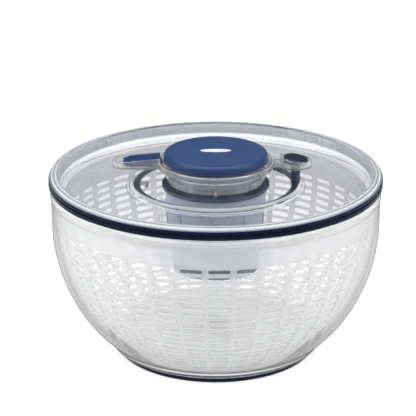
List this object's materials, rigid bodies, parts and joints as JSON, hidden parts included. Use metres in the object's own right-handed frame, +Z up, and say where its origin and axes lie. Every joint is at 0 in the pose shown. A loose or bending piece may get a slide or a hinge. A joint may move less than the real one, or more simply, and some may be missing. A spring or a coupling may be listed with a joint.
{
  "type": "salad spinner",
  "caption": "Round clear salad spinner: slotted basket in a bowl, spun by a press knob in the lid, with a knob lock and a brake button.",
  "frame": {"origin": "centre of the foot ring's underside, on the surface it stands on", "axes": "+Z up, -Y front, the knob lock at -X, the brake button at +X"},
  "size_m": [0.266, 0.266, 0.1653],
  "materials": {
    "clear_plastic": "clear, polished",
    "tinted_plastic": "clear with a blue-grey tint",
    "frosted_plastic": "milky, fine texture",
    "blue_soft": "soft-touch, satin",
    "blue_plastic": "moulded",
    "navy_plastic": "glossy",
    "navy_rubber": "smooth silicone",
    "slate_plastic": "moulded",
    "white_gloss": "glossy",
    "white_acetal": "moulded",
    "steel": "plain"
  },
  "bodies": {
    "bowl": {"bowl": "clear_plastic", "foot_ring": "navy_rubber", "pivot_pin": "steel"},
    "bush": {"pivot_bush": "white_acetal"},
    "basket": {"basket_rim": "frosted_plastic", "basket_wall": "frosted_plastic", "basket_heel": "frosted_plastic", "basket_floor": "frosted_plastic"},
    "lid": {"lid_shell": "clear_plastic", "lid_gasket": "navy_rubber", "collar": "clear_plastic", "drum_cover": "slate_plastic", "drum_housing": "tinted_plastic", "clutch_cover": "slate_plastic", "bearing_bush": "white_acetal", "housing_screws": "steel", "hoop_pin": "steel", "return_spring": "steel", "brake_spring": "steel"},
    "rotor": {"rotor_disc": "clear_plastic", "rotor_hub": "blue_plastic", "rotor_screws": "steel", "ratchet_ring": "slate_plastic", "thrust_washer": "white_acetal"},
    "drive": {"drive_sleeve": "white_acetal", "pawls": "slate_plastic"},
    "knob": {"plunger": "tinted_plastic", "helix_rod": "steel", "rod_screw": "steel", "knob_cap": "blue_soft", "knob_inlay": "white_gloss"},
    "lock": {"lock_slider": "blue_soft"},
    "brake": {"brake_button": "navy_plastic", "brake_stem": "slate_plastic"},
    "hoop": {"brake_hoop": "slate_plastic", "brake_pads": "navy_rubber"}
  },
  "joints": [
    {"name": "lid_lift", "type": "slide", "parent": "bowl", "child": "lid", "axis": [0, 0, 1], "range_m": [0, 0.26]},
    {"name": "basket_lift", "type": "slide", "parent": "bowl", "child": "bush", "axis": [0, 0, 1], "range_m": [0, 0.1305]},
    {"name": "basket_spin", "type": "hinge", "parent": "bush", "child": "basket", "pos_m": [0, 0, 0.012], "axis": [0, 0, 1], "continuous": true},
    {"name": "rotor_spin", "type": "hinge", "parent": "lid", "child": "rotor", "pos_m": [0, 0, 0.08], "axis": [0, 0, 1], "continuous": true},
    {"name": "knob_press", "type": "slide", "parent": "lid", "child": "knob", "axis": [0, 0, 1], "range_m": [0, 0.04], "deforming": ["return_spring"]},
    {"name": "drive_turn", "type": "hinge", "parent": "lid", "child": "drive", "pos_m": [0, 0, 0.09], "axis": [0, 0, 1], "range_deg": [0, 451]},
    {"name": "lock_slide", "type": "slide", "parent": "lid", "child": "lock", "axis": [-1, 0, 0], "range_m": [0, 0.006]},
    {"name": "brake_press", "type": "slide", "parent": "lid", "child": "brake", "axis": [0, 0, -1], "range_m": [0, 0.003], "stiffness_N_per_m": 400, "springref_m": -0.002, "deforming": ["brake_spring"]},
    {"name": "hoop_swing", "type": "hinge", "parent": "lid", "child": "hoop", "pos_m": [-0.055, 0, 0.1362], "axis": [0, 1, 0], "range_deg": [0, 1.46]}
  ],
  "couplings": [
    {"joint": "basket_lift", "follows": "lid_lift", "ratio": 0.5},
    {"joint": "rotor_spin", "follows": "basket_spin", "ratio": 1},
    {"joint": "drive_turn", "follows": "knob_press", "rad_per_m": 196.35},
    {"joint": "hoop_swing", "follows": "brake_press", "rad_per_m": 8.432}
  ]
}
